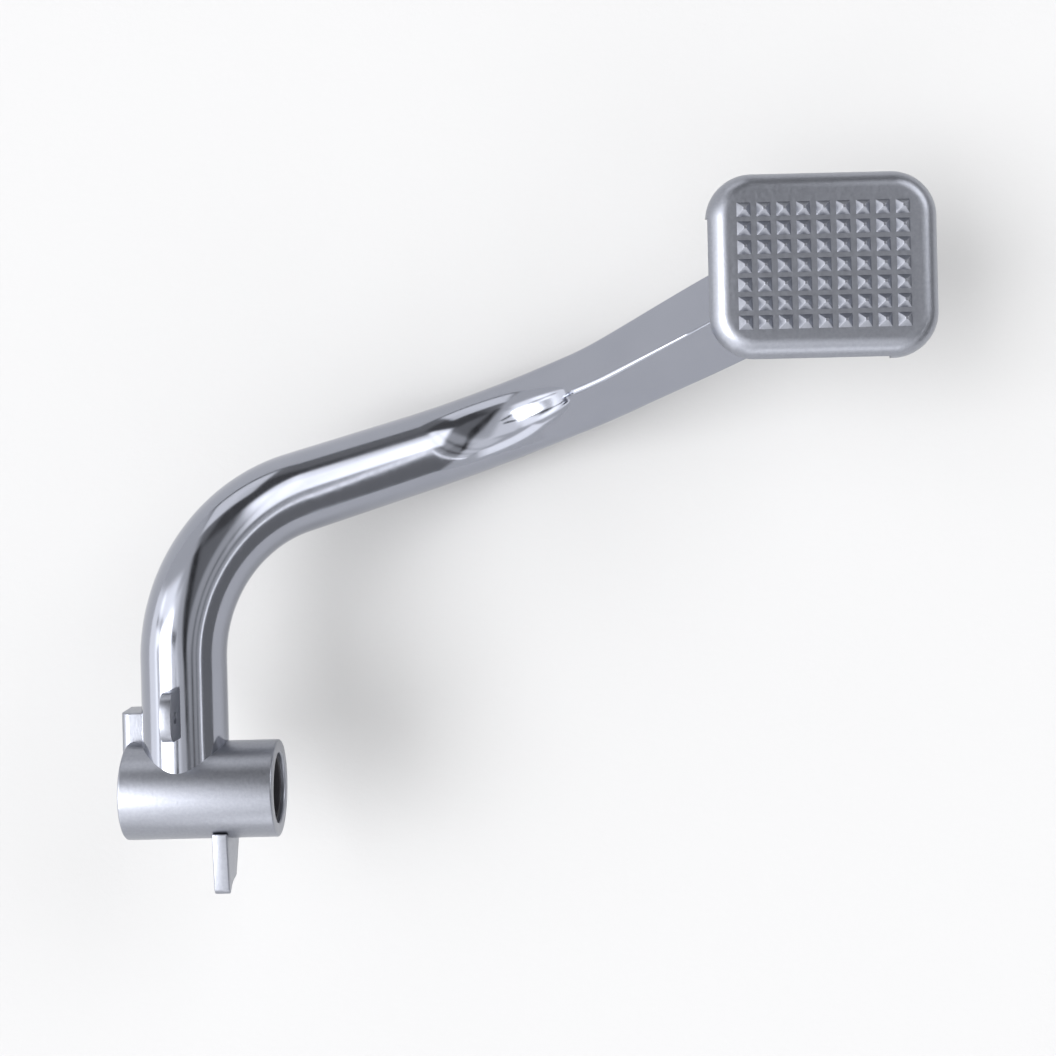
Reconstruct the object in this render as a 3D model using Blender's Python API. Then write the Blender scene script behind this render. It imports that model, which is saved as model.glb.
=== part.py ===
# Foot control lever of a motorcycle: a bent tube arm between a pivot boss and a treaded foot pad.
# Every length below is in millimetres; bmesh_of turns them into metres.
# Origin: middle of the pivot axis. +X runs along that axis, +Y towards the pad, +Z up.
import math

import bmesh
import bpy
from mathutils import Vector

MM = 0.001
FIT_GAP = 0.3
CUT_MARGIN = 5.0

BOSS_RADIUS = 12.5
BOSS_LENGTH = 39.0
BOSS_BORE_RADIUS = 9.0
BOSS_EDGE = 0.6
BOSS_SEGMENTS = 72

BUSH_BORE_RADIUS = 8.0
BUSH_LENGTH = 15.0
BUSH_RECESS = 1.2
BUSH_EDGE = 0.25

ARM_RADIUS = 11.0
ARM_WALL = 2.0
ARM_X = -4.6
ARM_CORNERS = (
    (ARM_X, 0.0, 0.0),
    (ARM_X, 67.4, 0.0),
    (73.0, 93.9, -45.9),
    (106.3, 105.4, -27.2),
    (162.7, 130.9, 6.4),
)
ARM_BEND_RADII = (45.0, 42.0, 180.0)
ARM_BEND_STEP = math.radians(7.5)
ARM_SQUARE_SIDE = 17.6
ARM_SQUARE_EDGE = 0.8
ARM_BORE_EDGE = 0.4
ARM_FORM_START = 146.0
ARM_FORM_END = 180.0
ARM_FORM_RINGS = 7
ARM_SIDE_EDGE = 3.5
ARM_SIDE_END = 234.0
ARM_LEAST_STEP = 0.2
ARM_OUTER_STEPS = (0.0, 0.018, 0.036, 0.12, 0.24, 0.36, 0.5, 0.64, 0.76, 0.88, 0.964, 0.982)
ARM_INNER_STEPS = (0.0, 0.06, 0.24, 0.5, 0.76, 0.94)
ARM_CAP_THICKNESS = 2.0

PAD_CENTRE = (162.3, 131.05)
PAD_LENGTH = 59.1
PAD_WIDTH = 47.7
PAD_CORNER = 11.7
PAD_CORNER_STEPS = 8
PAD_TOP_Z = 11.0
PAD_ROLL = 5.2
PAD_ROLL_STEPS = 8
PAD_SHEET = 3.5
PAD_DEPTH = 5.8
PAD_NOTCH_RIGHT = 46.5
PAD_NOTCH_TOP = 36.6

STUD_PITCH_X = 5.03
STUD_PITCH_Y = 4.76
STUD_COLUMNS = int((PAD_LENGTH - PAD_ROLL * 2) / STUD_PITCH_X)
STUD_ROWS = int((PAD_WIDTH - PAD_ROLL * 2) / STUD_PITCH_Y)
STUD_SHIFT = (-0.3, -0.35)
STUD_BASE = 3.55
STUD_TOP = 0.75
STUD_HEIGHT = 1.7
STUD_SINK = 0.4

PAD_WELD_LEG = 2.6
PAD_WELD_LOWEST = 3.2
PAD_WELD_HOLLOW = 0.15

STOP_LEFT = -22.1
STOP_RIGHT = -9.0
STOP_FRONT_Y = 20.0
STOP_FRONT_SLANT = 0.055
STOP_BACK_Y = 7.5
STOP_TOP_Z = -1.7
STOP_BOTTOM_Z = -12.2
STOP_ROUND = 2.4
STOP_ROUND_STEPS = 6
LUG_EDGE = 0.35

ROD_LUG_X = 5.2
ROD_LUG_THICKNESS = 4.0
ROD_LUG_OUTLINE = (
    (-10.1, 8.2),
    (-11.0, 4.0),
    (-7.0, -4.0),
    (-8.4, -10.0),
    (-23.2, -2.8),
    (-23.8, 1.3),
    (-24.5, 3.2),
    (-26.1, 4.8),
    (-25.9, 5.6),
    (-25.0, 6.5),
)

EAR_X = ARM_X
EAR_THICKNESS = 2.6
EAR_HOLE_RADIUS = 1.5
EAR_HOLE_SEGMENTS = 24
EAR_HOLE = (20.7, 16.3)
EAR_OUTLINE = (
    (15.0, 6.0),
    (15.0, 17.6),
    (15.7, 19.2),
    (17.2, 20.7),
    (19.0, 21.5),
    (21.1, 21.7),
    (23.2, 21.5),
    (25.0, 20.7),
    (26.5, 19.2),
    (27.2, 17.6),
    (27.2, 6.0),
)

SATIN_STEEL = ("satin_steel", (0.56, 0.57, 0.60, 1.0), 0.36, 1.0)
CHROME = ("chrome", (0.78, 0.79, 0.82, 1.0), 0.06, 1.0)
DARK_BUSH = ("dark_bush", (0.035, 0.034, 0.04, 1.0), 0.55, 0.0)


def clear_scene():
    for obj in list(bpy.data.objects):
        bpy.data.objects.remove(obj, do_unlink=True)


def material_for(node, finish):
    base_name, colour, roughness, metallic = finish
    material = bpy.data.materials.new(f"{node}_{base_name}")
    material.use_nodes = True
    shader = material.node_tree.nodes["Principled BSDF"]
    shader.inputs["Base Color"].default_value = colour
    shader.inputs["Roughness"].default_value = roughness
    shader.inputs["Metallic"].default_value = metallic
    return material


def link_bmesh(name, bm):
    bmesh.ops.recalc_face_normals(bm, faces=bm.faces)
    mesh = bpy.data.meshes.new(name)
    bm.to_mesh(mesh)
    bm.free()
    obj = bpy.data.objects.new(name, mesh)
    bpy.context.scene.collection.objects.link(obj)
    return obj


def bmesh_of(points, faces):
    bm = bmesh.new()
    verts = [bm.verts.new(Vector(p) * MM) for p in points]
    for face in faces:
        bm.faces.new([verts[i] for i in face])
    return bm


def finish_node(obj, finish, smooth=False):
    obj.data.materials.append(material_for(obj.name, finish))
    for polygon in obj.data.polygons:
        polygon.use_smooth = smooth
    return obj


def make_cutter(name, bm):
    cutter = link_bmesh(name, bm)
    cutter.hide_render = True
    cutter.display_type = "WIRE"
    return cutter


def combine(obj, other, operation):
    modifier = obj.modifiers.new(other.name, "BOOLEAN")
    modifier.operation = operation
    modifier.solver = "EXACT"
    modifier.object = other


def cut(obj, cutter):
    combine(obj, cutter, "DIFFERENCE")


def rings_bmesh(rings, closed_sweep=False):
    """Surface through rings of equal size; open sweeps get a flat cap at both ends."""
    size = len(rings[0])
    points = [p for ring in rings for p in ring]
    faces = []
    spans = len(rings) if closed_sweep else len(rings) - 1
    for i in range(spans):
        first = i * size
        second = (i + 1) % len(rings) * size
        for j in range(size):
            k = (j + 1) % size
            faces.append((first + j, first + k, second + k, second + j))
    if not closed_sweep:
        faces.append(tuple(range(size)))
        faces.append(tuple(reversed(range(len(points) - size, len(points)))))
    return bmesh_of(points, faces)


def revolve_x(profile, segments):
    """Solid of revolution about the X axis from a closed profile of (x, radius)."""
    rings = []
    for i in range(segments):
        angle = math.tau * i / segments
        rings.append([(x, r * math.sin(angle), r * math.cos(angle)) for x, r in profile])
    return rings_bmesh(rings, closed_sweep=True)


def rod_x(x_from, x_to, y, z, radius, segments):
    """Solid rod along X."""
    rings = []
    for x in (x_from, x_to):
        ring = []
        for i in range(segments):
            angle = math.tau * i / segments
            ring.append((x, y + radius * math.sin(angle), z + radius * math.cos(angle)))
        rings.append(ring)
    return rings_bmesh(rings)


def rod_y(y_from, y_to, x, z, radius, segments):
    """Solid rod along Y."""
    rings = []
    for y in (y_from, y_to):
        ring = []
        for i in range(segments):
            angle = math.tau * i / segments
            ring.append((x + radius * math.sin(angle), y, z + radius * math.cos(angle)))
        rings.append(ring)
    return rings_bmesh(rings)


def box_bmesh(low, high):
    corners = ((0, 0), (1, 0), (1, 1), (0, 1))
    ends = (low, high)
    rings = []
    for z in (low[2], high[2]):
        rings.append([(ends[i][0], ends[j][1], z) for i, j in corners])
    return rings_bmesh(rings)


def plate_x(outline, x_middle, thickness, edge):
    """Plate of the given (y, z) outline, thickness along X, with small broken edges."""
    half = thickness / 2
    rings = [[(x_middle + side * half, y, z) for y, z in outline] for side in (-1, 1)]
    bm = rings_bmesh(rings)
    bmesh.ops.recalc_face_normals(bm, faces=bm.faces)
    rim = [e for e in bm.edges if abs(e.verts[0].co.x - e.verts[1].co.x) < MM * edge / 2]
    bmesh.ops.bevel(bm, geom=rim, offset=edge * MM, segments=1, affect="EDGES")
    return bm


def tube_ring(x, outer, inner, edge, sign):
    """Half of a sleeve profile: the broken outer and inner edges of one end."""
    return [(x - sign * edge, outer), (x, outer - edge), (x, inner + edge), (x - sign * edge, inner)]


def sleeve_profile(x_from, x_to, outer, inner, edge):
    low = tube_ring(x_from, outer, inner, edge, -1)
    high = tube_ring(x_to, outer, inner, edge, 1)
    return high + list(reversed(low))


def arm_path():
    """Stations along the arm: (distance, point, direction), with every corner turned into an arc."""
    corners = [Vector(c) for c in ARM_CORNERS]
    stations = [(corners[0], (corners[1] - corners[0]).normalized())]
    for before, corner, after, radius in zip(
        corners, corners[1:], corners[2:], ARM_BEND_RADII
    ):
        inward = (before - corner).normalized()
        outward = (after - corner).normalized()
        inside = inward.angle(outward)
        reach = radius / math.tan(inside / 2)
        middle = corner + (inward + outward).normalized() * radius / math.sin(inside / 2)
        start = corner + inward * reach
        turn = math.pi - inside
        across = start - middle
        axis = (-inward).cross(outward).normalized()
        steps = max(3, math.ceil(turn / ARM_BEND_STEP))
        for i in range(steps + 1):
            angle = turn * i / steps
            spoke = across * math.cos(angle) + axis.cross(across) * math.sin(angle)
            stations.append((middle + spoke, axis.cross(spoke).normalized()))
    stations.append((corners[-1], (corners[-1] - corners[-2]).normalized()))
    path = []
    distance = 0.0
    for i, (point, direction) in enumerate(stations):
        if i:
            distance += (point - stations[i - 1][0]).length
        path.append((distance, point, direction))
    return path


def with_form_rings(path):
    """Adds stations where the arm changes from round to square, closer together towards the square."""
    wanted = [
        ARM_FORM_START + (ARM_FORM_END - ARM_FORM_START) * math.sin(math.pi / 2 * i / ARM_FORM_RINGS)
        for i in range(ARM_FORM_RINGS + 1)
    ]
    merged = list(path)
    for distance in wanted:
        for before, after in zip(path, path[1:]):
            if before[0] < distance < after[0]:
                share = (distance - before[0]) / (after[0] - before[0])
                if min(share, 1 - share) * (after[0] - before[0]) > ARM_LEAST_STEP:
                    point = before[1].lerp(after[1], share)
                    merged.append((distance, point, before[2].lerp(after[2], share).normalized()))
    return sorted(merged, key=lambda station: station[0])


def square_point(turn, side, top_edge, side_edge):
    """Point of a square that stands on one corner, at a share of its outline.

    Its top and bottom corners are rounded by top_edge, and the two at its sides by side_edge."""
    quarter = math.floor(turn * 4)
    first, second = (side_edge, top_edge) if quarter % 2 else (top_edge, side_edge)
    flat = side - first - second
    first_arc = first * math.pi / 4
    along = (turn * 4 - quarter) * (first_arc + flat + second * math.pi / 4)
    if along <= first_arc:
        angle = along / first
        across = first * math.sin(angle)
        up = (side / 2 - first) * math.sqrt(2) + first * math.cos(angle)
    elif along <= first_arc + flat:
        step = (along - first_arc + first) / math.sqrt(2)
        across = step
        up = side / math.sqrt(2) - step
    else:
        angle = math.pi / 4 + (along - first_arc - flat) / second
        across = (side / 2 - second) * math.sqrt(2) + second * math.sin(angle)
        up = second * math.cos(angle)
    spin = math.pi / 2 * quarter
    return (
        across * math.cos(spin) + up * math.sin(spin),
        up * math.cos(spin) - across * math.sin(spin),
    )


def form_share(distance, start, end):
    return min(max((distance - start) / (end - start), 0.0), 1.0)


def arm_ring(station, steps, shrink):
    """One cross-section of the arm, offset inwards by shrink.

    It is a square whose corners start as a full circle. The ridge along the top is pressed first, and the
    two corners at the sides follow."""
    distance, point, direction = station
    share = form_share(distance, ARM_FORM_START, ARM_FORM_END)
    share = 1 - math.sqrt(1 - share * share)
    late = form_share(distance, ARM_FORM_END, ARM_SIDE_END)
    late = late * late * (3 - 2 * late)
    side = ARM_RADIUS * 2 + (ARM_SQUARE_SIDE - ARM_RADIUS * 2) * share - shrink * 2
    top_edge = ARM_RADIUS + (ARM_SQUARE_EDGE - ARM_RADIUS) * share - shrink
    side_edge = ARM_RADIUS + (ARM_SIDE_EDGE - ARM_RADIUS) * share - shrink
    side_edge += (ARM_SQUARE_EDGE - ARM_SIDE_EDGE) * late
    up = (Vector((0, 0, 1)) - direction * direction.z).normalized()
    across = direction.cross(up)
    ring = []
    for quarter in range(4):
        for step in steps:
            turn = (quarter + step) / 4
            x, y = square_point(turn, side, max(top_edge, ARM_BORE_EDGE), max(side_edge, ARM_BORE_EDGE))
            ring.append(tuple(point + across * x + up * y))
    return ring


def extended(path, before, after):
    """The path with its two ends moved outwards along their directions."""
    first = (path[0][0] - before, path[0][1] - path[0][2] * before, path[0][2])
    last = (path[-1][0] + after, path[-1][1] + path[-1][2] * after, path[-1][2])
    return [first] + path[1:-1] + [last]


def pad_underside():
    return PAD_TOP_Z - PAD_SHEET


def above_plane_cutter(name, z):
    """Block that removes what reaches above z under the pad."""
    x, y = PAD_CENTRE
    reach_x = PAD_LENGTH / 2 + CUT_MARGIN
    reach_y = PAD_WIDTH / 2 + CUT_MARGIN
    low = (x - reach_x, y - reach_y, z)
    high = (x + reach_x, y + reach_y, z + ARM_RADIUS * 4)
    return make_cutter(name, box_bmesh(low, high))


def build_boss():
    half = BOSS_LENGTH / 2
    profile = sleeve_profile(-half, half, BOSS_RADIUS, BOSS_BORE_RADIUS, BOSS_EDGE)
    boss = link_bmesh("pivot_boss", revolve_x(profile, BOSS_SEGMENTS))
    finish_node(boss, SATIN_STEEL, smooth=True)


def build_bush(name, side):
    outer_end = BOSS_LENGTH / 2 - BUSH_RECESS
    x_from, x_to = sorted((side * outer_end, side * (outer_end - BUSH_LENGTH)))
    outer = BOSS_BORE_RADIUS - FIT_GAP
    profile = sleeve_profile(x_from, x_to, outer, BUSH_BORE_RADIUS, BUSH_EDGE)
    bush = link_bmesh(name, revolve_x(profile, BOSS_SEGMENTS))
    finish_node(bush, DARK_BUSH, smooth=True)


def boss_clearance(name):
    """Cutter that leaves the fit gap around the outside of the boss."""
    half = BOSS_LENGTH / 2 + FIT_GAP
    radius = BOSS_RADIUS + FIT_GAP
    return make_cutter(name, rod_x(-half, half, 0.0, 0.0, radius, BOSS_SEGMENTS))


def build_arm():
    path = with_form_rings(arm_path())
    outer = [arm_ring(s, ARM_OUTER_STEPS, 0.0) for s in path]
    arm = link_bmesh("arm_tube", rings_bmesh(outer))
    bore_path = extended(path, CUT_MARGIN, CUT_MARGIN)
    inner = [arm_ring(s, ARM_INNER_STEPS, ARM_WALL) for s in bore_path]
    cut(arm, make_cutter("arm_bore_cutter", rings_bmesh(inner)))
    cut(arm, boss_clearance("arm_boss_cutter"))
    cut(arm, above_plane_cutter("arm_pad_cutter", pad_underside() - FIT_GAP))
    finish_node(arm, CHROME, smooth=True)
    return path[-1]


def build_arm_cap(end_station):
    distance, point, direction = end_station
    rings = []
    for offset in (FIT_GAP, FIT_GAP + ARM_CAP_THICKNESS):
        station = (distance + offset, point + direction * offset, direction)
        rings.append(arm_ring(station, ARM_OUTER_STEPS, 0.0))
    cap = link_bmesh("arm_end_cap", rings_bmesh(rings))
    cut(cap, above_plane_cutter("cap_pad_cutter", pad_underside() - FIT_GAP))
    finish_node(cap, SATIN_STEEL)


def pad_loop(inset, z):
    """Rounded rectangle of the pad, moved inwards by inset, at height z."""
    radius = max(PAD_CORNER - inset, 0.5)
    half_x = PAD_LENGTH / 2 - inset - radius
    half_y = PAD_WIDTH / 2 - inset - radius
    loop = []
    for quarter, (sx, sy) in enumerate(((1, 1), (-1, 1), (-1, -1), (1, -1))):
        for i in range(PAD_CORNER_STEPS + 1):
            angle = math.pi / 2 * (quarter + i / PAD_CORNER_STEPS)
            x = PAD_CENTRE[0] + sx * half_x + radius * math.cos(angle)
            y = PAD_CENTRE[1] + sy * half_y + radius * math.sin(angle)
            loop.append((x, y, z))
    return loop


def rolled(z_top, inset, radius, steps):
    """(inset, z) down a quarter round that starts on a flat top at z_top and ends on a wall at inset."""
    profile = []
    for i in range(steps + 1):
        angle = math.pi / 2 * i / steps
        profile.append((inset + radius * (1 - math.sin(angle)), z_top - radius * (1 - math.cos(angle))))
    return profile


def pad_profile():
    """(inset, z) from the middle of the underside, down inside the skirt, round its foot and up to the top."""
    foot_z = PAD_TOP_Z - PAD_DEPTH
    inside = rolled(pad_underside(), PAD_SHEET, PAD_ROLL - PAD_SHEET, PAD_ROLL_STEPS // 2)
    outside = rolled(PAD_TOP_Z, 0.0, PAD_ROLL, PAD_ROLL_STEPS)
    return inside + [(PAD_SHEET, foot_z), (0.0, foot_z)] + outside[::-1]


def build_pad():
    rings = [pad_loop(inset, z) for inset, z in pad_profile()]
    pad = link_bmesh("foot_pad", rings_bmesh(rings))
    low_x = PAD_CENTRE[0] - PAD_LENGTH / 2
    low_y = PAD_CENTRE[1] - PAD_WIDTH / 2
    notch_low = (low_x - CUT_MARGIN, low_y - CUT_MARGIN, PAD_TOP_Z - PAD_DEPTH - CUT_MARGIN)
    notch_high = (low_x + PAD_NOTCH_RIGHT, low_y + PAD_NOTCH_TOP, pad_underside())
    cut(pad, make_cutter("pad_notch_cutter", box_bmesh(notch_low, notch_high)))
    combine(pad, make_cutter("pad_stud_field", stud_field()), "UNION")
    finish_node(pad, SATIN_STEEL)


def stud_field():
    """All the blunt pyramids of the tread, sunk a little into the pad's top."""
    slope = (STUD_BASE - STUD_TOP) / 2 / STUD_HEIGHT
    points = []
    faces = []
    for row in range(STUD_ROWS):
        for column in range(STUD_COLUMNS):
            x = PAD_CENTRE[0] + STUD_SHIFT[0] + (column - (STUD_COLUMNS - 1) / 2) * STUD_PITCH_X
            y = PAD_CENTRE[1] + STUD_SHIFT[1] + (row - (STUD_ROWS - 1) / 2) * STUD_PITCH_Y
            first = len(points)
            for z in (-STUD_SINK, STUD_HEIGHT):
                half = STUD_BASE / 2 - z * slope
                for sx, sy in ((-1, -1), (1, -1), (1, 1), (-1, 1)):
                    points.append((x + sx * half, y + sy * half, PAD_TOP_Z + z))
            faces.append(tuple(first + i for i in (3, 2, 1, 0)))
            faces.append(tuple(first + i for i in (4, 5, 6, 7)))
            for i in range(4):
                j = (i + 1) % 4
                faces.append((first + i, first + j, first + 4 + j, first + 4 + i))
    return bmesh_of(points, faces)


def build_pad_weld(end_station):
    """Weld bead in the corner between the arm's two upper flanks and the underside of the pad."""
    point, direction = end_station[1], end_station[2]
    up = (Vector((0, 0, 1)) - direction * direction.z).normalized()
    across = direction.cross(up)
    top_z = pad_underside() - FIT_GAP
    turns = [(quarter + step) / 4 for quarter in (-1, 0) for step in ARM_OUTER_STEPS]
    outlines = []
    for z in (top_z, top_z - PAD_WELD_LEG):
        line = []
        for turn in turns:
            x, y = square_point(turn % 1.0, ARM_SQUARE_SIDE, ARM_SQUARE_EDGE, ARM_SQUARE_EDGE)
            if y < PAD_WELD_LOWEST:
                continue
            start = point + across * x + up * y
            line.append(start + direction * ((z - start.z) / direction.z))
        outlines.append(line)
    upper, lower = outlines
    middle = sum(upper, Vector()) / len(upper)
    rings = []
    for i, corner in enumerate(upper):
        before = upper[max(i - 1, 0)]
        after = upper[min(i + 1, len(upper) - 1)]
        along = (after - before).normalized()
        outward = along.cross(Vector((0, 0, 1)))
        if outward.dot(corner - middle) < 0:
            outward = -outward
        inner = corner + outward * FIT_GAP
        low = lower[i] + outward * FIT_GAP
        far = corner + outward * (FIT_GAP + PAD_WELD_LEG)
        bulge = (far + low) / 2 + (inner - (far + low) / 2) * PAD_WELD_HOLLOW
        rings.append([tuple(inner), tuple(far), tuple(bulge), tuple(low)])
    bead = link_bmesh("pad_weld", rings_bmesh(rings))
    finish_node(bead, SATIN_STEEL)


def build_stop_lug():
    """Bar welded across the front of the boss, its outer top edge well rounded."""
    section = []
    for i in range(STOP_ROUND_STEPS + 1):
        angle = math.pi / 2 * i / STOP_ROUND_STEPS
        x = STOP_LEFT + STOP_ROUND * (1 - math.sin(angle))
        z = STOP_TOP_Z - STOP_ROUND * (1 - math.cos(angle))
        section.append((x, z))
    section += [(STOP_LEFT, STOP_BOTTOM_Z), (STOP_RIGHT, STOP_BOTTOM_Z), (STOP_RIGHT, STOP_TOP_Z)]
    back = [(x, STOP_BACK_Y, z) for x, z in section]
    front = [(x, STOP_FRONT_Y + STOP_FRONT_SLANT * (STOP_TOP_Z - z), z) for x, z in section]
    rings = [back, front]
    lug = link_bmesh("stop_lug", rings_bmesh(rings))
    cut(lug, boss_clearance("stop_boss_cutter"))
    reach = STOP_FRONT_Y + CUT_MARGIN
    tube = rod_y(0.0, reach, ARM_X, 0.0, ARM_RADIUS + FIT_GAP, BOSS_SEGMENTS)
    cut(lug, make_cutter("stop_arm_cutter", tube))
    finish_node(lug, SATIN_STEEL)


def build_rod_lug():
    plate = plate_x(ROD_LUG_OUTLINE, ROD_LUG_X, ROD_LUG_THICKNESS, LUG_EDGE)
    lug = link_bmesh("rod_lug", plate)
    cut(lug, boss_clearance("rod_boss_cutter"))
    finish_node(lug, SATIN_STEEL)


def build_spring_ear():
    plate = plate_x(EAR_OUTLINE, EAR_X, EAR_THICKNESS, LUG_EDGE)
    ear = link_bmesh("spring_ear", plate)
    y_from = EAR_OUTLINE[0][0] - CUT_MARGIN
    y_to = EAR_OUTLINE[-1][0] + CUT_MARGIN
    tube = rod_y(y_from, y_to, ARM_X, 0.0, ARM_RADIUS + FIT_GAP, BOSS_SEGMENTS)
    cut(ear, make_cutter("ear_arm_cutter", tube))
    hole_from = EAR_X - EAR_THICKNESS
    hole_to = EAR_X + EAR_THICKNESS
    hole = rod_x(hole_from, hole_to, *EAR_HOLE, EAR_HOLE_RADIUS, EAR_HOLE_SEGMENTS)
    cut(ear, make_cutter("ear_hole_cutter", hole))
    finish_node(ear, SATIN_STEEL)


clear_scene()
build_boss()
build_bush("bush_left", -1)
build_bush("bush_right", 1)
arm_end = build_arm()
build_arm_cap(arm_end)
build_pad()
build_pad_weld(arm_end)
build_stop_lug()
build_rod_lug()
build_spring_ear()
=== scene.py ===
import math

import bmesh
import bpy
from mathutils import Matrix, Vector


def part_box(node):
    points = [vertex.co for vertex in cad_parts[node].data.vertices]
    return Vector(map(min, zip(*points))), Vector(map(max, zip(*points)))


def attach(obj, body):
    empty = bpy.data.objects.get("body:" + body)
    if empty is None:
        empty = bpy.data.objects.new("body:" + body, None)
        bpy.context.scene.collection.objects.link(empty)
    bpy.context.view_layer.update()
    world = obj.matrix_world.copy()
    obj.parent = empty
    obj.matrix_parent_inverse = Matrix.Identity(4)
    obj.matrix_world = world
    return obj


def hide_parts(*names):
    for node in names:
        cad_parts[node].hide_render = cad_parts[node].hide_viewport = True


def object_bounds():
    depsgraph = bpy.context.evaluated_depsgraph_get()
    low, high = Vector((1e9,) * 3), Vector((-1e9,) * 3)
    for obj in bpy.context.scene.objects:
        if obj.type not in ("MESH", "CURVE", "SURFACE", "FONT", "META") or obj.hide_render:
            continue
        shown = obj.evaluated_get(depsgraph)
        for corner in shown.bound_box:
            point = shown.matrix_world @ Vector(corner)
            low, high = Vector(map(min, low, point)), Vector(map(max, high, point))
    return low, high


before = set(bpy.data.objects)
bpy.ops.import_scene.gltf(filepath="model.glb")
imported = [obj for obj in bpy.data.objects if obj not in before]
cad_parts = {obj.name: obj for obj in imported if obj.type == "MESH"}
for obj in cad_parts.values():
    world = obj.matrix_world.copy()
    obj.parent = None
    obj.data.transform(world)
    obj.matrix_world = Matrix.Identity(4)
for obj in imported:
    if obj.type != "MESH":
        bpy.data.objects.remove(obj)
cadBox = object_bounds()
mm = 0.001
body = "root"
print("frame loaded:", len(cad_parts), "nodes")


# small mesh helpers

def nodeBox(name):
    low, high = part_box(name)
    return low / mm, high / mm


def meshFrom(name, points, faces):
    mesh = bpy.data.meshes.new(name)
    mesh.from_pydata([Vector(point) * mm for point in points], [], faces)
    shape = bmesh.new()
    shape.from_mesh(mesh)
    bmesh.ops.recalc_face_normals(shape, faces=shape.faces)
    shape.to_mesh(mesh)
    shape.free()
    piece = bpy.data.objects.new(name, mesh)
    bpy.context.scene.collection.objects.link(piece)
    return piece


def throughRings(name, rings, closed=False):
    # skin over rings of equal size: closed joins the last ring to the first, otherwise the ends are capped
    size = len(rings[0])
    points = [point for ring in rings for point in ring]
    faces = []
    for i in range(len(rings) if closed else len(rings) - 1):
        here = i * size
        there = (i + 1) % len(rings) * size
        for j in range(size):
            k = (j + 1) % size
            faces.append((here + j, here + k, there + k, there + j))
    if not closed:
        faces.append(tuple(range(size)))
        faces.append(tuple(range(len(points) - size, len(points))))
    return meshFrom(name, points, faces)


def roundedOutline(corners, radius, steps=5):
    # the outline with each corner turned into a small curve
    corners = [Vector(corner) for corner in corners]
    outline = []
    for i, corner in enumerate(corners):
        before = corners[i - 1] - corner
        after = corners[(i + 1) % len(corners)] - corner
        reach = min(radius, before.length * 0.48, after.length * 0.48)
        start = corner + before.normalized() * reach
        end = corner + after.normalized() * reach
        for step in range(steps + 1):
            t = step / steps
            outline.append(start * (1 - t) ** 2 + corner * 2 * t * (1 - t) + end * t * t)
    return outline


def circle(radius, steps):
    turns = [math.tau * i / steps for i in range(steps)]
    return [(radius * math.sin(turn), radius * math.cos(turn)) for turn in turns]


def turnedOnX(name, outline, steps):
    # outline holds (x, radius) and is spun once about the X axis
    rings = [[(x, r * s, r * c) for x, r in outline] for s, c in circle(1.0, steps)]
    return throughRings(name, rings, closed=True)


def bake(piece):
    view = bpy.context.evaluated_depsgraph_get()
    finished = bpy.data.meshes.new_from_object(piece.evaluated_get(view))
    piece.modifiers.clear()
    piece.data = finished


def combine(piece, other, operation):
    boolean = piece.modifiers.new(operation, "BOOLEAN")
    boolean.operation = operation
    boolean.solver = "EXACT"
    boolean.object = other
    bake(piece)
    bpy.data.objects.remove(other, do_unlink=True)


def roundEdges(piece, width, segments=4):
    bevel = piece.modifiers.new("edges", "BEVEL")
    bevel.width = width * mm
    bevel.segments = segments
    bevel.limit_method = "ANGLE"
    bevel.angle_limit = math.radians(32)
    bake(piece)


def place(piece, node, material, crease=28):
    # shades the piece, gives it its finish and stands it in for its node
    mesh = piece.data
    mesh.materials.clear()
    mesh.materials.append(material)
    mesh.shade_smooth()
    mesh.set_sharp_from_angle(angle=math.radians(crease))
    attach(piece, body)
    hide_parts(node)
    return piece


# finishes

def addNode(tree, kind, **values):
    made = tree.nodes.new(kind)
    for name, value in values.items():
        setattr(made, name, value)
    return made


def newMaterial(name):
    material = bpy.data.materials.new(name)
    material.use_nodes = True
    return material, material.node_tree, material.node_tree.nodes["Principled BSDF"]


def grainAt(tree, scale, stretch=(1.0, 1.0, 1.0), turn=(0.0, 0.0, 0.0), detail=4.0, rough=0.55):
    # noise with features about 1/scale mm across, drawn out along stretch after a turn
    where = addNode(tree, "ShaderNodeTexCoord")
    mapping = addNode(tree, "ShaderNodeMapping")
    mapping.inputs["Rotation"].default_value = [math.radians(a) for a in turn]
    mapping.inputs["Scale"].default_value = [s / mm for s in stretch]
    noise = addNode(tree, "ShaderNodeTexNoise")
    noise.inputs["Scale"].default_value = scale
    noise.inputs["Detail"].default_value = detail
    noise.inputs["Roughness"].default_value = rough
    tree.links.new(where.outputs["Object"], mapping.inputs["Vector"])
    tree.links.new(mapping.outputs["Vector"], noise.inputs["Vector"])
    return noise.outputs["Fac"]


def spread(tree, value, fromLow, fromHigh, toLow, toHigh):
    ranged = addNode(tree, "ShaderNodeMapRange")
    for name, number in (
        ("From Min", fromLow), ("From Max", fromHigh), ("To Min", toLow), ("To Max", toHigh)
    ):
        ranged.inputs[name].default_value = number
    tree.links.new(value, ranged.inputs["Value"])
    return ranged.outputs["Result"]


# the part of a noise's range that the finishes use
noiseBand = {"low": 0.3, "high": 0.7}


def tinted(tree, value, dark, light):
    ramp = addNode(tree, "ShaderNodeValToRGB")
    ramp.color_ramp.elements[0].position = noiseBand["low"]
    ramp.color_ramp.elements[0].color = (*dark, 1.0)
    ramp.color_ramp.elements[1].position = noiseBand["high"]
    ramp.color_ramp.elements[1].color = (*light, 1.0)
    tree.links.new(value, ramp.inputs["Fac"])
    return ramp.outputs["Color"]


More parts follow.
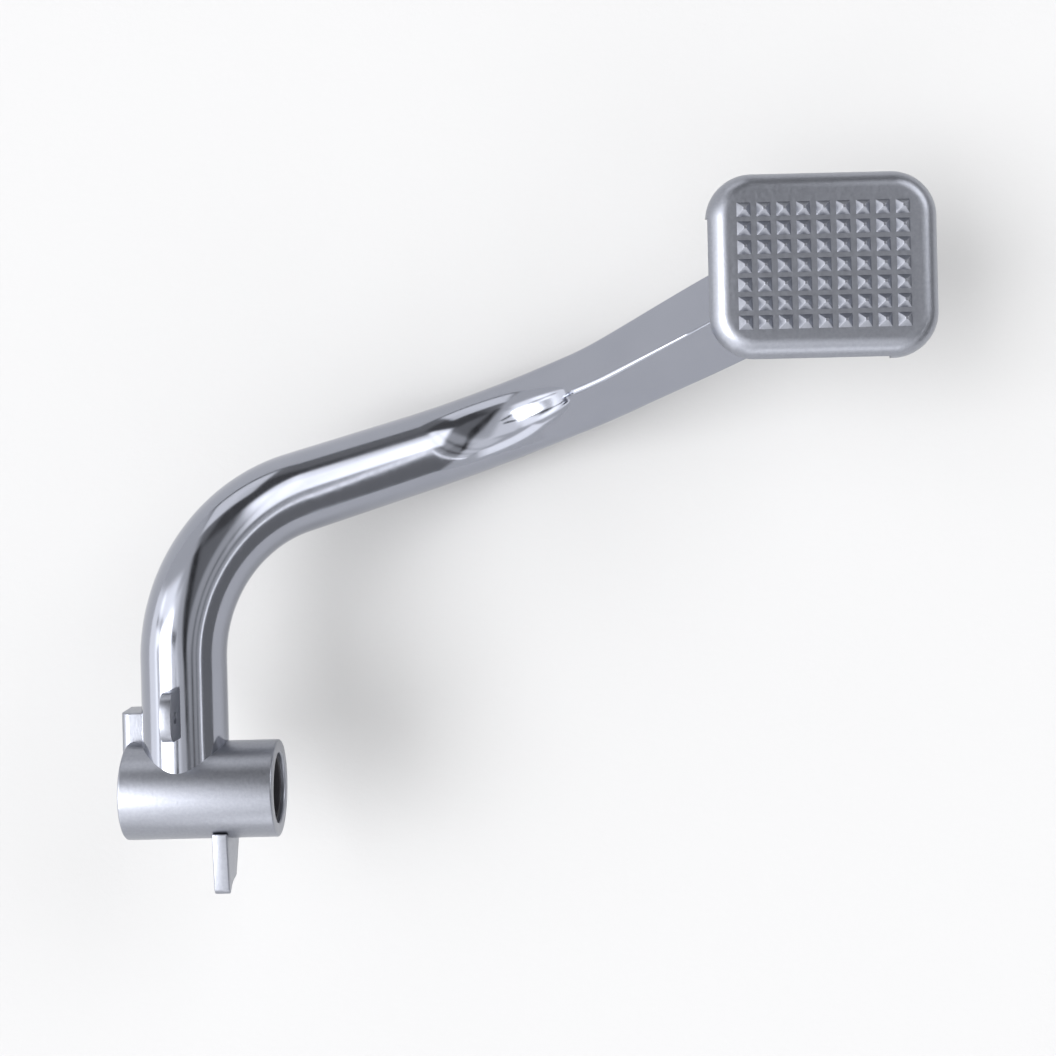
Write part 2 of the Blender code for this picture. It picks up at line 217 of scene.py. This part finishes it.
def bumped(tree, height, distance, strength=1.0, below=None):
    bump = addNode(tree, "ShaderNodeBump")
    bump.inputs["Strength"].default_value = strength
    bump.inputs["Distance"].default_value = distance * mm
    tree.links.new(height, bump.inputs["Height"])
    if below is not None:
        tree.links.new(below, bump.inputs["Normal"])
    return bump.outputs["Normal"]


chrome = {
    "dark": (0.335, 0.35, 0.40),
    "light": (0.355, 0.37, 0.42),
    "roughLow": 0.10,
    "roughHigh": 0.15,
    "waveDepth": 0.02,
    "scratchDepth": 0.0012,
}


def chromeFinish():
    material, tree, shader = newMaterial("armChrome")
    shader.inputs["Metallic"].default_value = 1.0
    cloud = grainAt(tree, 0.06)
    tree.links.new(tinted(tree, cloud, chrome["dark"], chrome["light"]), shader.inputs["Base Color"])
    smear = grainAt(tree, 0.5, stretch=(1.0, 0.25, 1.0))
    rough = spread(
        tree, smear, noiseBand["low"], noiseBand["high"], chrome["roughLow"], chrome["roughHigh"]
    )
    tree.links.new(rough, shader.inputs["Roughness"])
    waves = bumped(tree, grainAt(tree, 0.09, detail=1.0), chrome["waveDepth"])
    scratches = grainAt(tree, 4.0, stretch=(1.0, 0.08, 1.0), turn=(0.0, 0.0, 24.0))
    tree.links.new(bumped(tree, scratches, chrome["scratchDepth"], below=waves), shader.inputs["Normal"])
    return material


satin = {
    "dark": (0.297, 0.309, 0.348),
    "light": (0.333, 0.346, 0.388),
    "roughLow": 0.30,
    "roughHigh": 0.38,
    "grainDepth": 0.022,
}


def satinFinish(name, turn):
    material, tree, shader = newMaterial(name)
    shader.inputs["Metallic"].default_value = 1.0
    cloud = grainAt(tree, 1.2, detail=6.0)
    tree.links.new(tinted(tree, cloud, satin["dark"], satin["light"]), shader.inputs["Base Color"])
    grain = grainAt(tree, 1.6, stretch=(1.0, 0.45, 1.0), turn=turn, detail=3.0)
    rough = spread(tree, grain, 0.25, 0.75, satin["roughLow"], satin["roughHigh"])
    tree.links.new(rough, shader.inputs["Roughness"])
    tree.links.new(bumped(tree, grain, satin["grainDepth"]), shader.inputs["Normal"])
    return material


bushMetal = {
    "dark": (0.016, 0.015, 0.019),
    "light": (0.034, 0.032, 0.038),
    "roughLow": 0.42,
    "roughHigh": 0.62,
    "poreDepth": 0.03,
}


def bushFinish():
    material, tree, shader = newMaterial("bushDark")
    shader.inputs["Metallic"].default_value = 0.2
    pores = grainAt(tree, 3.0, detail=6.0)
    tree.links.new(tinted(tree, pores, bushMetal["dark"], bushMetal["light"]), shader.inputs["Base Color"])
    rough = spread(
        tree, pores, noiseBand["low"], noiseBand["high"], bushMetal["roughLow"], bushMetal["roughHigh"]
    )
    tree.links.new(rough, shader.inputs["Roughness"])
    tree.links.new(bumped(tree, pores, bushMetal["poreDepth"]), shader.inputs["Normal"])
    return material


weldMetal = {
    "dark": (0.24, 0.22, 0.21),
    "light": (0.46, 0.45, 0.46),
    "roughLow": 0.34,
    "roughHigh": 0.5,
    "scaleDepth": 0.05,
}


def weldFinish():
    material, tree, shader = newMaterial("weldSteel")
    shader.inputs["Metallic"].default_value = 1.0
    scale = grainAt(tree, 0.9, detail=6.0)
    tree.links.new(tinted(tree, scale, weldMetal["dark"], weldMetal["light"]), shader.inputs["Base Color"])
    rough = spread(
        tree, scale, noiseBand["low"], noiseBand["high"], weldMetal["roughLow"], weldMetal["roughHigh"]
    )
    tree.links.new(rough, shader.inputs["Roughness"])
    tree.links.new(bumped(tree, scale, weldMetal["scaleDepth"]), shader.inputs["Normal"])
    return material


# pivot boss and its two bushes

boss = {"bore": 9.0, "edge": 0.6, "steps": 224}


def buildBoss(material):
    low, high = nodeBox("pivot_boss")
    outer = high.z
    corners = ((high.x, outer), (high.x, boss["bore"]), (low.x, boss["bore"]), (low.x, outer))
    piece = turnedOnX("pivotBoss", roundedOutline(corners, boss["edge"]), boss["steps"])
    return place(piece, "pivot_boss", material)


bush = {"bore": 8.0, "edge": 0.35, "fit": 0.02, "steps": 160}


def buildBush(name, node, material):
    low, high = nodeBox(node)
    outer = boss["bore"] - bush["fit"]
    corners = ((high.x, outer), (high.x, bush["bore"]), (low.x, bush["bore"]), (low.x, outer))
    piece = turnedOnX(name, roundedOutline(corners, bush["edge"]), bush["steps"])
    return place(piece, node, material)


# bent arm: round by the boss, pressed square and stood on its corner by the pad

armX = -4.6

arm = {
    "radius": 11.0,
    "wall": 2.0,
    "x": armX,
    "corners": (
        (armX, 0.0, 0.0),
        (armX, 67.4, 0.0),
        (73.0, 93.9, -45.9),
        (106.3, 105.4, -27.2),
        (162.7, 130.9, 6.4),
    ),
    "bendRadii": (45.0, 42.0, 180.0),
    "squareSide": 17.32,
    "squareEdge": 0.25,
    "ridgeEdge": 1.3,
    "sideEdge": 3.5,
    "boreEdge": 0.25,
    "squareFrom": 146.0,
    "squareTo": 184.0,
    "ridgeFall": 0.5,
    "sideTo": 234.0,
    "step": 1.0,
    "quarterSteps": 32,
    "lead": 1.5,
    "sink": 0.05,
    "capThickness": 2.3,
    "capEdge": 0.6,
}


def alongLine(start, end):
    direction = (end - start).normalized()
    count = max(1, round((end - start).length / arm["step"]))
    return [(start.lerp(end, i / count), direction) for i in range(count)]


def alongBend(before, corner, after, radius):
    # stations on the arc that rounds one corner of the tube's route
    inward = (before - corner).normalized()
    outward = (after - corner).normalized()
    inside = inward.angle(outward)
    start = corner + inward * radius / math.tan(inside / 2)
    middle = corner + (inward + outward).normalized() * radius / math.sin(inside / 2)
    spoke = start - middle
    axis = (-inward).cross(outward).normalized()
    turn = math.pi - inside
    count = math.ceil(radius * turn / arm["step"])
    stations = []
    for i in range(count + 1):
        turned = Matrix.Rotation(turn * i / count, 3, axis) @ spoke
        stations.append((middle + turned, axis.cross(turned).normalized()))
    return stations


def armRoute():
    # (distance, point, direction) down the whole arm, from the boss's axis to the pad
    corners = [Vector(corner) for corner in arm["corners"]]
    stations = []
    reached = corners[0]
    for before, corner, after, radius in zip(corners, corners[1:], corners[2:], arm["bendRadii"]):
        bend = alongBend(before, corner, after, radius)
        stations += alongLine(reached, bend[0][0]) + bend[:-1]
        reached = bend[-1][0]
    stations += alongLine(reached, corners[-1])
    stations.append((corners[-1], stations[-1][1]))
    route = []
    distance = 0.0
    for i, (point, direction) in enumerate(stations):
        if i:
            distance += (point - stations[i - 1][0]).length
        route.append((distance, point, direction))
    return route


def ringTurns(quarters=range(4)):
    # shares of a ring, closest together where a square's corners come
    steps = arm["quarterSteps"]
    turns = []
    for quarter in quarters:
        for i in range(steps):
            close = (1 - math.cos(math.pi * i / steps)) / 2
            turns.append((quarter + (close + i / steps) / 2) / 4)
    return turns


def squarePoint(turn, side, topEdge, sideEdge):
    # point at a share of a square on its corner, with its own rounding for top and sides
    quarter = math.floor(turn * 4)
    first, second = (sideEdge, topEdge) if quarter % 2 else (topEdge, sideEdge)
    flat = side - first - second
    firstArc = first * math.pi / 4
    along = (turn * 4 - quarter) * (firstArc + flat + second * math.pi / 4)
    if along <= firstArc:
        angle = along / first
        across = first * math.sin(angle)
        up = (side / 2 - first) * math.sqrt(2) + first * math.cos(angle)
    elif along <= firstArc + flat:
        across = (along - firstArc + first) / math.sqrt(2)
        up = side / math.sqrt(2) - across
    else:
        angle = math.pi / 4 + (along - firstArc - flat) / second
        across = (side / 2 - second) * math.sqrt(2) + second * math.sin(angle)
        up = second * math.cos(angle)
    spin = math.pi / 2 * quarter
    return (
        across * math.cos(spin) + up * math.sin(spin),
        up * math.cos(spin) - across * math.sin(spin),
    )


def between(distance, start, end):
    return min(max((distance - start) / (end - start), 0.0), 1.0)


def eased(share):
    return share * share * (3 - 2 * share)


def armRing(station, wall, ceiling):
    # cross-section a wall inside the skin, flattened where it would pass the ceiling
    distance, point, direction = station
    formed = between(distance, arm["squareFrom"], arm["squareTo"])
    share = 1 - (1 - formed * formed) ** arm["ridgeFall"]
    late = eased(between(distance, arm["squareTo"], arm["sideTo"]))
    side = arm["radius"] * 2 + (arm["squareSide"] - arm["radius"] * 2) * eased(formed) - wall * 2
    topEdge = arm["radius"] + (arm["ridgeEdge"] - arm["radius"]) * share - wall
    topEdge += (arm["squareEdge"] - arm["ridgeEdge"]) * late
    sideEdge = arm["radius"] + (arm["sideEdge"] - arm["radius"]) * eased(formed) - wall
    sideEdge += (arm["squareEdge"] - arm["sideEdge"]) * late
    least = arm["boreEdge"]
    up = (Vector((0, 0, 1)) - direction * direction.z).normalized()
    across = direction.cross(up)
    ring = []
    for turn in ringTurns():
        x, y = squarePoint(turn, side, max(topEdge, least), max(sideEdge, least))
        spot = point + across * x + up * y
        if distance > arm["squareTo"]:
            spot.z = min(spot.z, ceiling)
        ring.append(spot)
    return ring


def saddleRing(wall, bossRadius):
    # where the round tube lands on the boss
    ring = []
    for turn in ringTurns():
        x = (arm["radius"] - wall) * math.sin(math.tau * turn)
        z = (arm["radius"] - wall) * math.cos(math.tau * turn)
        ring.append(Vector((arm["x"] + x, math.sqrt(bossRadius**2 - z**2), z)))
    return ring


def buildArm(material, ceiling):
    bossRadius = nodeBox("pivot_boss")[1].z - arm["sink"]
    route = [station for station in armRoute() if station[0] > bossRadius + arm["lead"]]
    outer = [armRing(station, 0.0, ceiling) for station in route]
    wall = arm["wall"]
    inner = [armRing(station, wall, ceiling - wall) for station in route]
    outer.insert(0, saddleRing(0.0, bossRadius))
    inner.insert(0, saddleRing(wall, bossRadius))
    piece = throughRings("armTube", outer + inner[::-1], closed=True)
    place(piece, "arm_tube", material, crease=40)
    return route[-1]


def buildArmCap(material, lastStation, ceiling):
    distance, point, direction = lastStation
    thickness, edge = arm["capThickness"], arm["capEdge"]
    profile = (
        (0.0, 0.0),
        (thickness - edge, 0.0),
        (thickness - edge / 4, edge / 4),
        (thickness, edge),
    )
    rings = []
    for depth, inset in profile:
        station = (distance, point + direction * depth, direction)
        rings.append(armRing(station, inset, ceiling))
    piece = throughRings("armEndCap", rings)
    return place(piece, "arm_end_cap", material)


# foot pad: flat plate with its edge rolled down, and rows of blunt pyramids on top

pad = {
    "corner": 11.7,
    "leastCorner": 0.5,
    "cornerSteps": 20,
    "roll": 5.2,
    "rollSteps": 16,
    "sheet": 3.5,
    "depth": 5.8,
    "edge": 0.35,
    "edgeCut": 0.3,
    "notchRight": 46.5,
    "notchTop": 36.6,
    "clear": 5.0,
}


def padMeasures():
    low, high = nodeBox("foot_pad")
    top = high.z - stud["height"]
    return low, high, top, top - pad["sheet"]


def padLoop(inset, z):
    low, high = padMeasures()[:2]
    middle = (low + high) / 2
    radius = max(pad["corner"] - inset, pad["leastCorner"])
    halfX = (high.x - low.x) / 2 - inset - radius
    halfY = (high.y - low.y) / 2 - inset - radius
    loop = []
    for quarter, (signX, signY) in enumerate(((1, 1), (-1, 1), (-1, -1), (1, -1))):
        for i in range(pad["cornerSteps"] + 1):
            angle = math.pi / 2 * (quarter + i / pad["cornerSteps"])
            x = middle.x + signX * halfX + radius * math.cos(angle)
            y = middle.y + signY * halfY + radius * math.sin(angle)
            loop.append((x, y, z))
    return loop


def rolled(top, inset, radius):
    # (inset, z) down a quarter round, from a flat at the top to a wall at the inset
    profile = []
    for i in range(pad["rollSteps"] + 1):
        angle = math.pi / 2 * i / pad["rollSteps"]
        profile.append((inset + radius * (1 - math.sin(angle)), top - radius * (1 - math.cos(angle))))
    return profile


def padWall():
    # (inset, z) from the middle of the underside, down the skirt, round its foot and up to the top
    low, high, top, underside = padMeasures()
    foot = top - pad["depth"]
    edge, sheet = pad["edge"], pad["sheet"]
    cut = edge * pad["edgeCut"]
    wall = rolled(underside, sheet, pad["roll"] - sheet)
    wall += [(sheet, foot + edge), (sheet - cut, foot + cut), (sheet - edge, foot)]
    wall += [(edge, foot), (cut, foot + cut), (0.0, foot + edge)]
    return wall + rolled(top, 0.0, pad["roll"])[::-1]


stud = {
    "columns": 9,
    "rows": 7,
    "pitchX": 5.03,
    "pitchY": 4.76,
    "shift": (-0.3, -0.35),
    "base": 3.55,
    "top": 0.75,
    "height": 1.7,
    "sink": 0.4,
    "edge": 0.06,
}


def oneStud():
    # blunt pyramid on the origin, its edges slightly rounded
    slope = (stud["base"] - stud["top"]) / 2 / stud["height"]
    shape = bmesh.new()
    rings = []
    for z in (-stud["sink"], stud["height"]):
        half = stud["base"] / 2 - z * slope
        corners = ((-half, -half), (half, -half), (half, half), (-half, half))
        rings.append([shape.verts.new((x, y, z)) for x, y in corners])
    shape.faces.new(rings[0][::-1])
    shape.faces.new(rings[1])
    for i in range(4):
        j = (i + 1) % 4
        shape.faces.new((rings[0][i], rings[0][j], rings[1][j], rings[1][i]))
    worn = [edge for edge in shape.edges if max(v.co.z for v in edge.verts) > 0]
    bmesh.ops.bevel(shape, geom=worn, offset=stud["edge"], segments=3, affect="EDGES", profile=0.5)
    shape.verts.index_update()
    points = [vertex.co.copy() for vertex in shape.verts]
    faces = [tuple(vertex.index for vertex in face.verts) for face in shape.faces]
    shape.free()
    return points, faces


def studField():
    low, high, top, underside = padMeasures()
    middle = (low + high) / 2
    points, faces = [], []
    onePoints, oneFaces = oneStud()
    for row in range(stud["rows"]):
        for column in range(stud["columns"]):
            x = middle.x + stud["shift"][0] + (column - (stud["columns"] - 1) / 2) * stud["pitchX"]
            y = middle.y + stud["shift"][1] + (row - (stud["rows"] - 1) / 2) * stud["pitchY"]
            first = len(points)
            points += [point + Vector((x, y, top)) for point in onePoints]
            faces += [tuple(first + i for i in face) for face in oneFaces]
    return meshFrom("studs", points, faces)


def boxFrom(name, low, high):
    rings = []
    for z in (low[2], high[2]):
        front = [(low[0], low[1], z), (high[0], low[1], z)]
        rings.append(front + [(high[0], high[1], z), (low[0], high[1], z)])
    return throughRings(name, rings)


def buildPad(material):
    low, high, top, underside = padMeasures()
    clear = pad["clear"]
    piece = throughRings("footPad", [padLoop(inset, z) for inset, z in padWall()])
    notchLow = (low.x - clear, low.y - clear, low.z - clear)
    notchHigh = (low.x + pad["notchRight"], low.y + pad["notchTop"], underside)
    combine(piece, boxFrom("notch", notchLow, notchHigh), "DIFFERENCE")
    combine(piece, studField(), "UNION")
    return place(piece, "foot_pad", material, crease=30)


padWeld = {
    "leg": 2.6,
    "lowest": 3.2,
    "across": 8,
    "bulge": 0.14,
    "ripple": 0.07,
    "rippleEvery": 1.1,
    "sink": 0.1,
}


def buildPadWeld(material, lastStation, ceiling):
    # bead in the corner between the arm's upper flanks and the underside of the pad
    distance, point, direction = lastStation
    up = (Vector((0, 0, 1)) - direction * direction.z).normalized()
    across = direction.cross(up)
    line = []
    for turn in ringTurns((-1, 0)):
        x, y = squarePoint(turn % 1.0, arm["squareSide"], arm["squareEdge"], arm["squareEdge"])
        if y > padWeld["lowest"]:
            start = point + across * x + up * y
            line.append(start + direction * ((ceiling - start.z) / direction.z))
    middle = sum(line, Vector()) / len(line)
    rings = []
    travelled = 0.0
    for i, corner in enumerate(line):
        before, after = line[max(i - 1, 0)], line[min(i + 1, len(line) - 1)]
        travelled += (corner - line[max(i - 1, 0)]).length
        outward = (after - before).normalized().cross(Vector((0, 0, 1)))
        if outward.dot(corner - middle) < 0:
            outward = -outward
        swell = 1 + padWeld["ripple"] * abs(math.sin(math.pi * travelled / padWeld["rippleEvery"]))
        leg = padWeld["leg"] * (swell - padWeld["ripple"])
        low = corner - direction * (leg / direction.z)
        far = corner + outward * leg
        ring = [corner - outward * padWeld["sink"]]
        for j in range(padWeld["across"] + 1):
            t = j / padWeld["across"]
            bulge = (outward - Vector((0, 0, 1))) * math.sin(math.pi * t) * leg * padWeld["bulge"]
            ring.append(far.lerp(low, t) + bulge)
        rings.append(ring)
    piece = throughRings("padWeld", rings)
    return place(piece, "pad_weld", material, crease=60)


# lugs welded to the boss and the ear on the arm

lug = {"edge": 0.4, "sink": 0.06, "cutSteps": 192, "barPast": 192.0}


def rodOn(name, axis, start, end, middle, radius):
    # cutter: a plain round bar along X or Y
    rings = []
    for far in (start, end):
        ring = []
        for a, b in circle(radius, lug["cutSteps"]):
            if axis == "x":
                ring.append((far, middle[0] + a, middle[1] + b))
            else:
                ring.append((middle[0] + a, far, middle[1] + b))
        rings.append(ring)
    return throughRings(name, rings)


def bossBar():
    low, high = nodeBox("pivot_boss")
    return rodOn("bossBar", "x", low.x, high.x, (0.0, 0.0), high.z - lug["sink"])


def armBar(end):
    return rodOn("armBar", "y", 0.0, end, (arm["x"], 0.0), arm["radius"] - lug["sink"])


def plateOnX(name, outline, low, high):
    return throughRings(name, [[(x, y, z) for y, z in outline] for x in (low, high)])


stopLug = {"round": 2.4, "roundSteps": 12, "frontSlant": 0.055}


def buildStopLug(material):
    low, high = nodeBox("stop_lug")
    section = []
    steps = stopLug["roundSteps"]
    for i in range(steps + 1):
        angle = math.pi / 2 * i / steps
        section.append((
            low.x + stopLug["round"] * (1 - math.sin(angle)),
            high.z - stopLug["round"] * (1 - math.cos(angle)),
        ))
    section += [(low.x, low.z), (high.x, low.z), (high.x, high.z)]
    drop = stopLug["frontSlant"]
    frontTop = high.y - drop * (high.z - low.z)
    back = [(x, low.y, z) for x, z in section]
    front = [(x, frontTop + drop * (high.z - z), z) for x, z in section]
    piece = throughRings("stopLug", [back, front])
    roundEdges(piece, lug["edge"])
    combine(piece, bossBar(), "DIFFERENCE")
    combine(piece, armBar(high.y + lug["barPast"]), "DIFFERENCE")
    return place(piece, "stop_lug", material)


rodLug = {
    "outline": (
        (-10.1, 8.2), (-11.0, 4.0), (-7.0, -4.0), (-8.4, -10.0), (-23.2, -2.8),
        (-23.8, 1.3), (-24.5, 3.2), (-26.1, 4.8), (-25.9, 5.6), (-25.0, 6.5),
    ),
}


def buildRodLug(material):
    low, high = nodeBox("rod_lug")
    piece = plateOnX("rodLug", rodLug["outline"], low.x, high.x)
    roundEdges(piece, lug["edge"])
    combine(piece, bossBar(), "DIFFERENCE")
    return place(piece, "rod_lug", material)


springEar = {
    "foot": 6.0,
    "shoulder": 17.6,
    "power": 2.6,
    "topSteps": 40,
    "hole": (20.7, 16.3),
    "holeRadius": 1.5,
    "holePast": 1.0,
}


def buildSpringEar(material):
    low, high = nodeBox("spring_ear")
    middle, half = (low.y + high.y) / 2, (high.y - low.y) / 2
    rise = high.z - springEar["shoulder"]
    outline = [(low.y, springEar["foot"])]
    steps = springEar["topSteps"]
    for i in range(steps + 1):
        angle = math.pi * (1 - i / steps)
        flat = 2 / springEar["power"]
        y = math.copysign(abs(math.cos(angle)) ** flat, math.cos(angle)) * half
        outline.append((middle + y, springEar["shoulder"] + rise * math.sin(angle) ** flat))
    outline.append((high.y, springEar["foot"]))
    piece = plateOnX("springEar", outline, low.x, high.x)
    past = springEar["holePast"]
    hole = rodOn("hole", "x", low.x - past, high.x + past, springEar["hole"], springEar["holeRadius"])
    combine(piece, hole, "DIFFERENCE")
    roundEdges(piece, lug["edge"])
    combine(piece, armBar(high.y + lug["barPast"]), "DIFFERENCE")
    return place(piece, "spring_ear", material)


# build the pieces

armChrome = chromeFinish()
padSatin = satinFinish("padSatin", (0.0, 0.0, 40.0))
bossSatin = satinFinish("bossSatin", (0.0, 0.0, 60.0))
lugSatin = satinFinish("lugSatin", (30.0, 0.0, 20.0))
padUnderside = padMeasures()[3] - arm["sink"]
buildBoss(bossSatin)
buildBush("bushLeft", "bush_left", bushFinish())
buildBush("bushRight", "bush_right", bushFinish())
print("boss and bushes made")
armEnd = buildArm(armChrome, padUnderside)
buildArmCap(lugSatin, armEnd, padUnderside)
print("arm made")
buildPad(padSatin)
buildPadWeld(weldFinish(), armEnd, padUnderside)
print("pad made")
buildStopLug(lugSatin)
buildRodLug(lugSatin)
buildSpringEar(lugSatin)
print("lugs made")


# floor, light and camera

studio = {"floorSize": 4.0, "floorGap": 0.4, "floorColour": (0.565, 0.565, 0.565)}


def buildFloor():
    half = studio["floorSize"] / mm / 2
    z = cadBox[0].z / mm - studio["floorGap"]
    centre = (cadBox[0] + cadBox[1]) / 2 / mm
    signs = ((-1, -1), (1, -1), (1, 1), (-1, 1))
    corners = [(centre.x + x * half, centre.y + y * half, z) for x, y in signs]
    floor = meshFrom("studioFloor", corners, [(0, 1, 2, 3)])
    material, tree, shader = newMaterial("paleFloor")
    shader.inputs["Base Color"].default_value = (*studio["floorColour"], 1.0)
    shader.inputs["Roughness"].default_value = 0.9
    shader.inputs["Specular IOR Level"].default_value = 0.0
    tree.links.new(bumped(tree, grainAt(tree, 0.6), 0.05), shader.inputs["Normal"])
    floor.data.materials.append(material)


# Light all round the object. heading and off say where a panel stands: degrees from +X towards +Y, and
# degrees down from straight overhead. side and tall are its half sizes, and soft its fading edge, all as
# tangents; a panel with negative power shades.
lights = {
    "dim": 0.30,
    "ceiling": {"heading": 220.0, "from": -0.15, "to": -0.08, "power": 0.60},
    "panels": (
        {"heading": 192.0, "off": 38.0, "side": 0.28, "tall": 0.20, "soft": 0.12, "power": 6.6},
        {"heading": 215.0, "off": 18.0, "side": 0.60, "tall": 0.16, "soft": 0.14, "power": 0.65},
        {"heading": 355.0, "off": 38.0, "side": 0.90, "tall": 0.30, "soft": 0.12, "power": 0.45},
        {"heading": 358.0, "off": 34.0, "side": 1.20, "tall": 0.02, "soft": 0.03, "power": -0.4},
        {"heading": 358.0, "off": 46.0, "side": 1.20, "tall": 0.015, "soft": 0.03, "power": -0.4},
        {"heading": 2.0, "off": 56.0, "side": 1.20, "tall": 0.02, "soft": 0.015, "power": 2.0},
        {"heading": 198.0, "off": 46.0, "side": 0.72, "tall": 0.25, "soft": 0.26, "power": 1.3},
        {"heading": 200.0, "off": 74.0, "side": 0.80, "tall": 0.22, "soft": 0.20, "power": 0.9},
        {"heading": 106.0, "off": 74.0, "side": 0.24, "tall": 0.20, "soft": 0.06, "power": 1.2},
        {"heading": 42.0, "off": 52.0, "side": 0.30, "tall": 0.15, "soft": 0.14, "power": 2.2},
        {"heading": 276.0, "off": 68.0, "side": 0.30, "tall": 0.16, "soft": 0.10, "power": 1.2},
        {"heading": 40.0, "off": 10.0, "side": 1.00, "tall": 0.045, "soft": 0.05, "power": -0.45},
        {"heading": 84.0, "off": 56.0, "side": 0.25, "tall": 0.25, "soft": 0.15, "power": -0.18},
        {"heading": 331.0, "off": 42.0, "side": 0.16, "tall": 0.18, "soft": 0.12, "power": -0.2},
        {"heading": 204.0, "off": 58.0, "side": 0.40, "tall": 0.05, "soft": 0.03, "power": -1.8},
        {"heading": 222.0, "off": 42.0, "side": 0.03, "tall": 0.60, "soft": 0.03, "power": -1.6},
        {"heading": 168.0, "off": 42.0, "side": 0.03, "tall": 0.60, "soft": 0.03, "power": -1.6},
    ),
    "least": 0.04,
    "tint": (1.0, 1.0, 1.01),
}


def worldDot(tree, direction, axis):
    dot = addNode(tree, "ShaderNodeVectorMath", operation="DOT_PRODUCT")
    dot.inputs[1].default_value = axis
    tree.links.new(direction, dot.inputs[0])
    return dot.outputs["Value"]


def sums(tree, operation, first, second):
    made = addNode(tree, "ShaderNodeMath", operation=operation)
    for socket, value in zip(made.inputs, (first, second)):
        if isinstance(value, (int, float)):
            socket.default_value = value
        else:
            tree.links.new(value, socket)
    return made.outputs["Value"]


def edgeOf(tree, value, size, soft):
    # 1 inside plus and minus size, falling to 0 over soft
    away = sums(tree, "ABSOLUTE", value, 0.0)
    fade = addNode(tree, "ShaderNodeMapRange", interpolation_type="SMOOTHSTEP")
    fade.inputs["From Min"].default_value = size + soft
    fade.inputs["From Max"].default_value = size
    tree.links.new(away, fade.inputs["Value"])
    return fade.outputs["Result"]


def panelLight(tree, direction, panel):
    heading, off = math.radians(panel["heading"]), math.radians(panel["off"])
    outwards = Vector((math.cos(heading), math.sin(heading), 0.0))
    sideways = Vector((-outwards.y, outwards.x, 0.0))
    middle = outwards * math.sin(off) + Vector((0.0, 0.0, math.cos(off)))
    ahead = sums(tree, "MAXIMUM", worldDot(tree, direction, middle), 0.001)
    u = sums(tree, "DIVIDE", worldDot(tree, direction, sideways), ahead)
    v = sums(tree, "DIVIDE", worldDot(tree, direction, middle.cross(sideways)), ahead)
    wide = edgeOf(tree, u, panel["side"], panel["soft"])
    tall = edgeOf(tree, v, panel["tall"], panel["soft"])
    facing = sums(tree, "GREATER_THAN", ahead, 0.01)
    mask = sums(tree, "MULTIPLY", sums(tree, "MULTIPLY", wide, tall), facing)
    return sums(tree, "MULTIPLY", mask, panel["power"])


def ceilingLight(tree, direction, ceiling):
    heading = math.radians(ceiling["heading"])
    side = worldDot(tree, direction, (math.cos(heading), math.sin(heading), 0.0))
    return spread(tree, side, ceiling["from"], ceiling["to"], 0.0, ceiling["power"])


def buildLight():
    world = bpy.data.worlds.new("studioLight")
    bpy.context.scene.world = world
    world.use_nodes = True
    tree = world.node_tree
    direction = addNode(tree, "ShaderNodeTexCoord").outputs["Generated"]
    total = sums(tree, "ADD", ceilingLight(tree, direction, lights["ceiling"]), lights["dim"])
    for panel in lights["panels"]:
        total = sums(tree, "ADD", panelLight(tree, direction, panel), total)
    background = tree.nodes["Background"]
    background.inputs["Color"].default_value = (*lights["tint"], 1.0)
    tree.links.new(sums(tree, "MAXIMUM", total, lights["least"]), background.inputs["Strength"])


camera = {"place": (85.6, 65.9, 381.3), "roll": -1.37, "lens": 50.0, "sensor": 36.0}


def buildCamera():
    data = bpy.data.cameras.new("studioCamera")
    data.lens = camera["lens"]
    data.sensor_width = camera["sensor"]
    data.clip_start = 0.01
    eye = bpy.data.objects.new("studioCamera", data)
    bpy.context.scene.collection.objects.link(eye)
    eye.location = Vector(camera["place"]) * mm
    eye.rotation_euler = (0.0, 0.0, math.radians(camera["roll"]))
    bpy.context.scene.camera = eye


buildFloor()
buildLight()
buildCamera()
bpy.context.scene.view_settings.view_transform = "Standard"
print("studio made")
